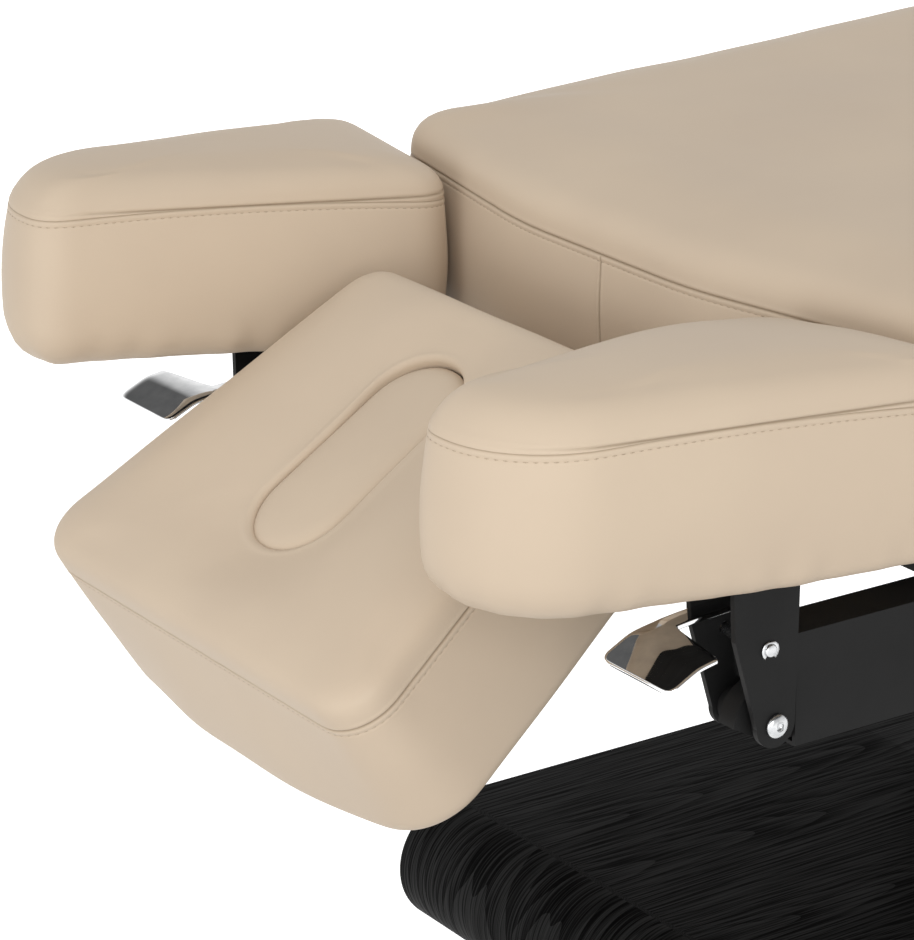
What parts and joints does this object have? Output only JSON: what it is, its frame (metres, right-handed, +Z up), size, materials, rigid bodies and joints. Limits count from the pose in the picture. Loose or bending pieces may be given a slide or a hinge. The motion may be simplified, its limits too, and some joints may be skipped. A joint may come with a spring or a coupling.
{
  "type": "electric facial bed",
  "caption": "Motorised spa treatment bed on a wood-look base with a lifting seat, hinged back and legs, a tilting face cradle with a lift-out plug, and drop armrests.",
  "frame": {"origin": "on the floor under the middle of the bed's box", "axes": "+X from the head end to the foot end, +Z up, +Y to the left of someone lying on their back"},
  "size_m": [1.8632, 0.8482, 0.792],
  "materials": {
    "beige_leatherette": "satin",
    "plywood": "matte",
    "black_ash_veneer": "satin",
    "rubber": "matte",
    "black_plastic": "matte",
    "black_aluminium": "satin",
    "polished_steel": "polished",
    "bright_steel": "satin",
    "motor_case": "satin",
    "black_powder_coat": "matte"
  },
  "bodies": {
    "base": {"base_wrap": "black_ash_veneer", "base_side_panels": "black_ash_veneer", "base_floor_plate": "black_powder_coat", "base_feet": "rubber", "control_box": "black_plastic", "mains_inlet": "black_plastic", "column_outer_head": "black_aluminium", "column_outer_foot": "black_aluminium", "column_glides_lower": "black_plastic"},
    "lift_stage": {"column_middle_head": "black_aluminium", "column_middle_foot": "black_aluminium", "column_glides_upper": "black_plastic"},
    "chassis": {"column_inner_head": "black_aluminium", "column_inner_foot": "black_aluminium", "chassis_rail_left": "black_powder_coat", "chassis_rail_right": "black_powder_coat", "seat_cross_tubes": "black_powder_coat", "seat_side_plate_left": "black_powder_coat", "seat_side_plate_right": "black_powder_coat", "hinge_pins": "bright_steel", "seat_board": "plywood", "seat_cushion": "beige_leatherette", "drive_casing": "black_plastic", "drive_motors": "motor_case"},
    "back_drive": {"back_pusher": "bright_steel"},
    "leg_drive": {"leg_pusher": "bright_steel"},
    "back": {"back_rail_left": "black_powder_coat", "back_rail_right": "black_powder_coat", "back_cross_tubes": "black_powder_coat", "back_hip_arms": "black_powder_coat", "back_board": "plywood", "back_cushion": "beige_leatherette", "back_crank": "black_powder_coat", "armrest_lug_left": "black_powder_coat", "armrest_lug_right": "black_powder_coat", "head_hinge_lugs": "black_powder_coat", "head_shaft": "bright_steel", "head_friction_hubs": "bright_steel"},
    "head": {"head_arms": "black_powder_coat", "head_board": "plywood", "head_cushion": "beige_leatherette"},
    "face_plug": {"face_plug_cushion": "beige_leatherette", "face_plug_base": "plywood"},
    "leg": {"leg_cushion": "beige_leatherette", "leg_board": "plywood", "leg_cross_tubes": "black_powder_coat", "leg_arms": "black_powder_coat", "leg_crank": "black_powder_coat"},
    "armrest_left": {"armrest_cushion_left": "beige_leatherette", "armrest_board_left": "plywood", "armrest_plate_outer_left": "black_powder_coat", "armrest_plate_inner_left": "black_powder_coat", "armrest_fasteners_left": "bright_steel"},
    "lever_left": {"release_lever_left": "polished_steel"},
    "armrest_right": {"armrest_cushion_right": "beige_leatherette", "armrest_board_right": "plywood", "armrest_plate_outer_right": "black_powder_coat", "armrest_plate_inner_right": "black_powder_coat", "armrest_fasteners_right": "bright_steel"},
    "lever_right": {"release_lever_right": "polished_steel"}
  },
  "joints": [
    {"name": "lift_slide", "type": "slide", "parent": "base", "child": "chassis", "axis": [0, 0, 1], "range_m": [-0.1, 0.2]},
    {"name": "lift_stage_slide", "type": "slide", "parent": "base", "child": "lift_stage", "axis": [0, 0, 1], "range_m": [-0.05, 0.1]},
    {"name": "back_hinge", "type": "hinge", "parent": "chassis", "child": "back", "pos_m": [0.094, 0, 0.692], "axis": [0, 1, 0], "range_deg": [0, 60]},
    {"name": "back_drive_slide", "type": "slide", "parent": "chassis", "child": "back_drive", "axis": [-1, 0, 0], "range_m": [0, 0.2]},
    {"name": "leg_hinge", "type": "hinge", "parent": "chassis", "child": "leg", "pos_m": [0.642, 0, 0.692], "axis": [0, 1, 0], "range_deg": [0, 60]},
    {"name": "leg_drive_slide", "type": "slide", "parent": "chassis", "child": "leg_drive", "axis": [-1, 0, 0], "range_m": [0, 0.2]},
    {"name": "head_hinge", "type": "hinge", "parent": "back", "child": "head", "pos_m": [-0.51, 0, 0.572], "axis": [0, 1, 0], "range_deg": [-30, 33]},
    {"name": "face_plug_slide", "type": "slide", "parent": "head", "child": "face_plug", "axis": [-0.5592, 0, 0.829], "range_m": [0, 0.15]},
    {"name": "armrest_left_hinge", "type": "hinge", "parent": "back", "child": "armrest_left", "pos_m": [-0.6425, 0.3165, 0.4685], "axis": [0, 1, 0], "range_deg": [-62, 0]},
    {"name": "lever_left_hinge", "type": "hinge", "parent": "armrest_left", "child": "lever_left", "pos_m": [-0.64825, 0.3165, 0.52932], "axis": [0, 1, 0], "range_deg": [0, 12], "stiffness_Nm_per_rad": 0.8, "springref_deg": -8.59},
    {"name": "armrest_right_hinge", "type": "hinge", "parent": "back", "child": "armrest_right", "pos_m": [-0.6425, -0.3165, 0.4685], "axis": [0, 1, 0], "range_deg": [-60, 2]},
    {"name": "lever_right_hinge", "type": "hinge", "parent": "armrest_right", "child": "lever_right", "pos_m": [-0.65037, -0.3165, 0.52909], "axis": [0, 1, 0], "range_deg": [0, 12], "stiffness_Nm_per_rad": 0.8, "springref_deg": -8.59}
  ],
  "couplings": [
    {"joint": "lift_stage_slide", "follows": "lift_slide", "ratio": 0.5},
    {"joint": "back_drive_slide", "follows": "back_hinge", "m_per_rad": 0.1909},
    {"joint": "leg_drive_slide", "follows": "leg_hinge", "m_per_rad": 0.1909}
  ]
}
